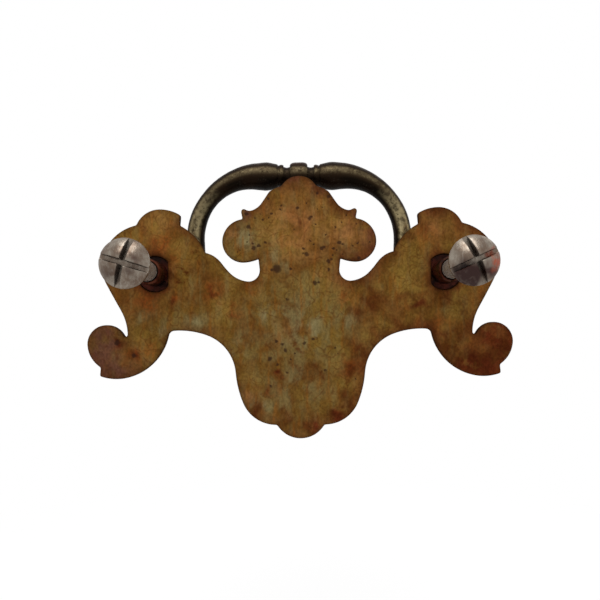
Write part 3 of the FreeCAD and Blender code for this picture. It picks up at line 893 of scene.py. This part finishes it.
def dark_bail():
    """Antique brass: almost black on the hollow side, which is painted shade, and olive brown and rubbed in a
    band along the outer side, a band that is also a painted highlight; painted shade darkens the outermost
    edge beside it. The legs are rubbed most and peppered with dark specks, and low places of the knuckle stay
    dark."""
    material, tree, shader = new_finish("dark_bail_brass")
    spot = placed(tree)
    broad = clouds(tree, spot, 200.0, 0.004, 5.0)["Cloud"]
    fine = clouds(tree, spot, 900.0, 0.001, 5.0)["Cloud"]
    outer = worn_by(tree, "outer")
    # The grip's band is a painted highlight; the legs' band is rubbed brass and a painted highlight.
    grip_highlight_band = times(tree, ease(tree, outer, 0.05, 0.4), ease(tree, outer, 0.75, 0.5))
    leg_rub_and_highlight_band = times(tree, ease(tree, outer, -0.75, -0.25), ease(tree, outer, 0.85, 0.45))
    leg_rub_and_highlight_band = times(tree, leg_rub_and_highlight_band, worn_by(tree, "leg"))
    rubbed = reckoned(tree, "MAXIMUM", times(tree, grip_highlight_band, 0.12), leg_rub_and_highlight_band)
    rubbed = times(tree, rubbed, ease(tree, fine, -0.5, 0.8))
    scuffed = times(tree, rubs(tree, spot, 1600.0), times(tree, grip_highlight_band, 0.2))
    edge = times(tree, ease(tree, outer, 0.75, 0.95), broad)
    pitted = pores(tree, spot, 1900.0, 0.5)
    # Painted shade: the hollow side, facing down and in, is made almost black.
    colour = layered(tree, ease(tree, outer, -0.25, 0.35), tone(13, 8, 5), tone(50, 38, 25))
    colour = coated(tree, colour,
                    # Painted shade on the outermost edge, so that the lit band lies a little in from it.
                    (ease(tree, outer, 0.45, 0.8), tone(31, 22, 14)),
                    (times(tree, broad, 0.5), tone(30, 18, 10)),
                    # Rubbed brass and painted highlight, from the bands above.
                    (rubbed, tone(182, 165, 124)),
                    # Rub marks, kept within the grip's painted highlight band.
                    (scuffed, tone(150, 136, 100)),
                    (times(tree, edge, 0.6), tone(62, 36, 18)),
                    (times(tree, pitted, 0.6), tone(34, 27, 21)),
                    (times(tree, worn_by(tree, "low"), 0.7), tone(26, 18, 13)))
    dressed(tree, shader, colour, between(tree, fine, 0.28, 0.42), grained(tree, fine, 0.4, pitted))
    tree.links.new(between(tree, rubbed, 0.4, 0.85), shader.inputs["Metallic"])
    shader.inputs["Specular IOR Level"].default_value = 0.1
    shader.inputs["Specular Tint"].default_value = tone(160, 150, 130)
    return material


bail = shown("bail_casting", bail_mesh(), dark_bail())
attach(bail, "bail")
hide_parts("bail")


# Screws
# Two steel machine screws with low domed heads and two slots cut across each other. They go through the
# drawer front into the posts. The steel is dull and has brown dirt and a little rust, with painted shade in
# the slots and a painted reflection in the colour of rust on the left head.

screw_length = 25.4
screw_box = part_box("right_screw")
screw_tip = screw_box[0].y / MM
screw_head_r = (screw_box[1].x - screw_box[0].x) / 2 / MM
head_under = screw_tip + screw_length
head_rim = 0.7
head_dome = 2.1
slot_width = 0.95
slot_depth = 2.3
shank_r = 2.08
thread_top = 6.3
thread_root_r = 1.72
thread_pitch = 0.794
thread_run_out = 0.9
tip_chamfer = 0.5
head_break = 0.15
lit_wall = 0.8


def head_patch():
    """A quarter of the head's top between two slots, as a square grid. Along each side the grid crosses half
    a slot, floor then wall, and then the pad. A point is the corner of the pad moved outward along the ray of
    its two pad shares, by the larger share of the way to the rim. Its height is between the slot's floor and
    the dome. The last three of the arrays are masks: the walls of the two slots, and their floor."""
    half = slot_width / 2
    pad = np.concatenate([[0.0, 0.02, 0.06], np.linspace(0.14, 1, 13)])
    wall_steps = [0.0, half * 0.5, half - 0.09, half - 0.03, half - 0.01]
    across = np.concatenate([wall_steps, np.full(len(pad), half + 0.01)])
    out = np.concatenate([np.zeros(len(wall_steps)), pad])
    lift = np.concatenate([[0.0, 0.0, 0.0, 0.08, 0.2, 0.88, 0.97], np.ones(len(pad) - 2)])
    first, second = np.meshgrid(across, across, indexing="ij")
    u, v = np.meshgrid(out, out, indexing="ij")
    size = np.maximum(np.hypot(u, v), 1e-9)
    way_u, way_v = u / size, v / size
    toward = first * way_u + second * way_v
    to_rim = np.sqrt(toward ** 2 - first ** 2 - second ** 2 + screw_head_r ** 2) - toward
    share = np.maximum(u, v)
    a = first + way_u * share * to_rim
    b = second + way_v * share * to_rim
    ball = (screw_head_r ** 2 + head_dome ** 2) / (2 * head_dome)
    rim_top = head_under + head_rim
    dome = rim_top + head_dome - ball + np.sqrt(ball ** 2 - a ** 2 - b ** 2)
    floor_of_slot = np.minimum(rim_top + head_dome - slot_depth, dome)
    raised = lift[:, None] * lift[None]
    height = floor_of_slot + (dome - floor_of_slot) * raised
    depth = np.clip((dome - floor_of_slot) / (slot_depth * 0.4), 0, 1)
    wall = np.minimum(6 * lift * (1 - lift), 1)
    wall_a = wall[:, None] * lift[None] * depth
    wall_b = lift[:, None] * wall[None] * depth
    # The floor's mask is a tenth: the slot's floor gets a little painted shade, the walls more.
    return a, height, b, wall_a, wall_b, 0.1 * (raised < 0.02) * depth


def open_faces(rows, columns):
    """The quads of a grid that doesn't close on itself."""
    row = np.arange(rows - 1)[:, None] * columns
    corner = row + np.arange(columns - 1)[None]
    return np.stack([corner, corner + 1, corner + columns + 1, corner + columns], 2).reshape(-1, 4)


def screw_mesh(name, side, turn, stains):
    """Four quarter patches make the head's top. The rim, underside, shank and tip are a turned profile with
    the same angles, whose radius winds along a right-handed thread: it follows height over pitch plus the
    share of a turn. A slot's walls and floor get painted shade, less where the walls face up towards the
    light."""
    a, height, b, wall_a, wall_b, slot_floor_shade = (part.ravel() for part in head_patch())
    count = round(math.sqrt(len(a)))
    spin = -math.radians(turn)
    spins = [(a, b), (-b, a), (-a, -b), (b, -a)]
    sheets = []
    for quarter, (p, q) in enumerate(spins):
        angle = quarter * math.pi / 2 + spin
        # Painted shade on the slot walls, less on walls that face up towards the light.
        wall_shade_a = wall_a * (1 - lit_wall * max(0.0, -math.sin(angle)) ** 2)
        wall_shade_b = wall_b * (1 - lit_wall * max(0.0, -math.cos(angle)) ** 2)
        dark = np.clip(np.maximum(wall_shade_a, wall_shade_b) + slot_floor_shade, 0, 1)
        sheets.append((np.stack([p, height, q], 1), open_faces(count, count), {"wall": dark}))
    rim = np.hypot(a, b) > screw_head_r - 1e-6
    rim_angles = np.concatenate([np.arctan2(q[rim], p[rim]) for p, q in spins]).round(7)
    angles, first = np.unique(rim_angles, return_index=True)
    kept = np.diff(angles, append=angles[0] + 2 * math.pi) > 1e-5
    angles = angles[kept]
    rim_top = np.tile(height[rim], 4)[first][kept]
    rows = np.arange(thread_top, screw_tip, -thread_pitch / 12)
    wound = (rows[:, None] / thread_pitch + angles / (2 * math.pi)) % 1
    ridge = np.clip(1.2 - abs(wound - 0.5) * 2.6, 0, 1)
    run_out = np.clip((rows - thread_top + thread_run_out) / thread_run_out, 0, 1)[:, None]
    root = thread_root_r + (shank_r - thread_root_r) * run_out
    tip_r = shank_r - tip_chamfer
    thread = np.minimum(root + (shank_r - root) * ridge, tip_r + np.maximum(rows - screw_tip, 0)[:, None])
    profile = [(screw_head_r, rim_top), (screw_head_r, head_under + head_break)]
    profile += [(screw_head_r - head_break, head_under), (shank_r + head_break, head_under)]
    profile += [(shank_r, head_under - head_break), (shank_r, thread_top + 0.2)]
    profile += [*zip(thread, rows), (tip_r, screw_tip), (0.0, screw_tip)]
    points, faces = turned(profile, angles)
    sheets.append((points, faces, {"wall": np.zeros(len(points))}))
    placed_sheets = []
    for points, faces, marks in sheets:
        across = points[:, 0] * math.cos(spin) - points[:, 2] * math.sin(spin)
        up = points[:, 0] * math.sin(spin) + points[:, 2] * math.cos(spin)
        flat = np.stack([across, up], 1)
        drift = flat + 0.35 * shaken(flat, 2.5, 41)
        for kind in stains:
            marks[kind] = stained(drift, stains[kind]) * (points[:, 1] > head_under)
        marks["shank"] = (points[:, 1] < head_under - 0.1).astype(float)
        marks["dirt"] = np.maximum(marks["dirt"], points[:, 1] < thread_top)
        placed_sheets.append((np.stack([across + side * post_x, points[:, 1], up], 1), faces, marks))
    return smoothed(joined_mesh(name, placed_sheets), 40)


def dull_steel():
    """Dull grey steel with faint turning and rub marks, painted shade in its slots, brown dirt in stains and
    on the thread, and orange rust, with a painted reflection in the colour of rust on the left head. The
    shank is painted lighter than the head and is plainer."""
    material, tree, shader = new_finish("dull_screw_steel")
    spot = placed(tree)
    broad = clouds(tree, spot, 350.0, 0.003, 5.0)["Cloud"]
    fine = clouds(tree, spot, 1300.0, 0.0008, 5.0)["Cloud"]
    shank, wall = worn_by(tree, "shank"), worn_by(tree, "wall")
    scuffed = rubs(tree, placed(tree, (1.0, 1.0, 0.2), (0, 0.5, 0)), 2600.0)
    dirt = times(tree, ease(tree, worn_by(tree, "dirt"), 0.05, 0.65), ease(tree, fine, -1.8, 0.4))
    rust = times(tree, worn_by(tree, "rust"), ease(tree, fine, -0.5, 0.8))
    pitted = times(tree, pores(tree, spot, 1700.0, 0.22), reckoned(tree, "SUBTRACT", 1.0, shank))
    colour = coated(tree, layered(tree, broad, tone(104, 89, 77), tone(141, 132, 120)),
                    (times(tree, fine, 0.35), tone(104, 86, 73)),
                    (times(tree, scuffed, 0.25), tone(166, 159, 148)),
                    # Painted light: the shank is made lighter than the head.
                    (times(tree, shank, 0.5), tone(146, 140, 132)),
                    (dirt, tone(44, 24, 20)),
                    (rust, tone(150, 66, 38)),
                    # Painted shade in the slots.
                    (times(tree, wall, 0.95), tone(26, 13, 9)),
                    (times(tree, pitted, 0.5), tone(60, 44, 36)))
    rough = between(tree, fine, 0.22, 0.36)
    dressed(tree, shader, colour, rough, grained(tree, fine, 0.4, pitted), 0.4, 0.00006)
    # Dirt, rust and the slots' painted shade make the steel less metallic.
    soiled_and_shaded = reckoned(tree, "MAXIMUM", dirt, reckoned(tree, "MAXIMUM", rust, wall))
    clean = reckoned(tree, "SUBTRACT", 1.0, soiled_and_shaded)
    tree.links.new(times(tree, clean, between(tree, shank, 0.9, 0.5)), shader.inputs["Metallic"])
    shader.inputs["Specular IOR Level"].default_value = 0.15
    return material


# Stains on the heads, in millimetres from each screw's axis: across, up, radius and strength.
right_stains = {
    "dirt": [(-2.4, 0.5, 1.3, 0.42), (-1.4, -1.4, 1.4, 0.36), (2.5, -2.0, 2.0, 0.36),
             (-2.0, -2.8, 1.2, 0.25)],
    "rust": [(-2.3, 0.3, 0.7, 0.06)],
}
left_stains = {
    # The left head's dirt entries lie mostly below the axis and darken the head towards the bottom.
    "dirt": [(1.5, -2.8, 2.6, 1.0), (-2.4, -2.0, 1.6, 0.7), (-3.6, 2.6, 1.0, 0.3)],
    # The left head's rust entries are a painted reflection, in the colour of rust.
    "rust": [(-3.0, 0.9, 0.9, 0.95), (-3.7, -0.4, 1.0, 0.9), (-3.4, -1.4, 0.9, 0.5)],
}
steel = dull_steel()
right_screw = shown("right_screw_turned", screw_mesh("right_screw_turned", 1, -17.0, right_stains), steel)
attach(right_screw, "plate")
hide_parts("right_screw")
left_screw = shown("left_screw_turned", screw_mesh("left_screw_turned", -1, 24.0, left_stains), steel)
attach(left_screw, "plate")
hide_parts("left_screw")


# Floor, light and camera
# The pull is seen from behind, a hand's breadth away, in soft light from above against white.

floor_level = -0.1
floor_size = 4.0


def shows_background(tree):
    """1 for what the camera sees directly, in a mirror or through glass, and 0 for light that falls on
    things."""
    path = node(tree, "ShaderNodeLightPath").outputs
    seen = reckoned(tree, "ADD", path["Is Camera Ray"], path["Is Glossy Ray"])
    return reckoned(tree, "ADD", seen, path["Is Transmission Ray"])


def pale_floor():
    """A matt white floor that keeps shadows, mixed with plain white where it is seen."""
    material, tree, shader = new_finish("pale_floor")
    tree.nodes.remove(shader)
    matt = node(tree, "ShaderNodeBsdfDiffuse", {"Color": (0.9, 0.9, 0.9, 1.0)}).outputs[0]
    white = node(tree, "ShaderNodeEmission", {"Color": (1.0, 1.0, 1.0, 1.0), "Strength": 1.0}).outputs[0]
    spot = node(tree, "ShaderNodeTexCoord").outputs["Object"]
    under = (0.0, 0.0, floor_level)
    far = node(tree, "ShaderNodeVectorMath", {0: spot, 1: under}, operation="DISTANCE").outputs["Value"]
    limits = {"Value": far, "From Min": 0.05, "From Max": 0.2, "To Min": 0.75, "To Max": 1.0}
    fade = node(tree, "ShaderNodeMapRange", limits).outputs[0]
    share = times(tree, shows_background(tree), fade)
    both = node(tree, "ShaderNodeMixShader", {0: share, 1: matt, 2: white}).outputs[0]
    tree.links.new(both, tree.nodes["Material Output"].inputs["Surface"])
    return material


floor_mesh = bpy.data.meshes.new("floor")
floor_corners = [(-1, -1), (1, -1), (1, 1), (-1, 1)]
floor_points = [(x * floor_size / 2, y * floor_size / 2, floor_level) for x, y in floor_corners]
floor_mesh.from_pydata(floor_points, [], [(0, 1, 2, 3)])
floor = shown("floor", floor_mesh, pale_floor())

scene = bpy.context.scene
scene.view_settings.view_transform = "Standard"
world = bpy.data.worlds.new("studio")
scene.world = world
world.use_nodes = True
sky = world.node_tree
soft = sky.nodes["Background"]
soft.inputs["Color"].default_value = (1.0, 1.0, 1.0, 1.0)
soft.inputs["Strength"].default_value = 0.76
white = node(sky, "ShaderNodeBackground", {"Color": (1.0, 1.0, 1.0, 1.0), "Strength": 1.0}).outputs[0]
both = node(sky, "ShaderNodeMixShader", {0: shows_background(sky), 1: soft.outputs[0], 2: white}).outputs[0]
sky.links.new(both, sky.nodes["World Output"].inputs["Surface"])


def lamp(name, place, size, watts):
    """A square soft lamp that faces the pull."""
    made = bpy.data.objects.new(name, bpy.data.lights.new(name, "AREA"))
    made.data.shape = "SQUARE"
    made.data.size = size
    made.data.energy = watts
    facing = (-Vector(place)).to_track_quat("-Z", "Y").to_matrix().to_4x4()
    made.matrix_world = Matrix.Translation(place) @ facing
    scene.collection.objects.link(made)


lamp("high_lamp", (0.03, 0.25, 0.42), 0.36, 1.6)
lamp("front_lamp", (-0.2, -0.4, 0.3), 0.7, 1.0)

picture = 600
eye_distance = 0.125
eye_height = -0.01154
focal_pixels = 570.9
level_line = 325.5
lean_of_picture = -0.495
camera = bpy.data.objects.new("camera", bpy.data.cameras.new("camera"))
camera.data.sensor_width = 36.0
camera.data.lens = focal_pixels / picture * camera.data.sensor_width
camera.data.shift_y = (level_line - picture / 2) / picture
camera.data.clip_start = 0.005
facing = Matrix.Rotation(math.pi, 4, "Z") @ Matrix.Rotation(math.pi / 2, 4, "X")
leaning = Matrix.Rotation(math.radians(lean_of_picture), 4, "Z")
camera.matrix_world = Matrix.Translation((0.0, eye_distance, eye_height)) @ facing @ leaning
scene.collection.objects.link(camera)
scene.camera = camera
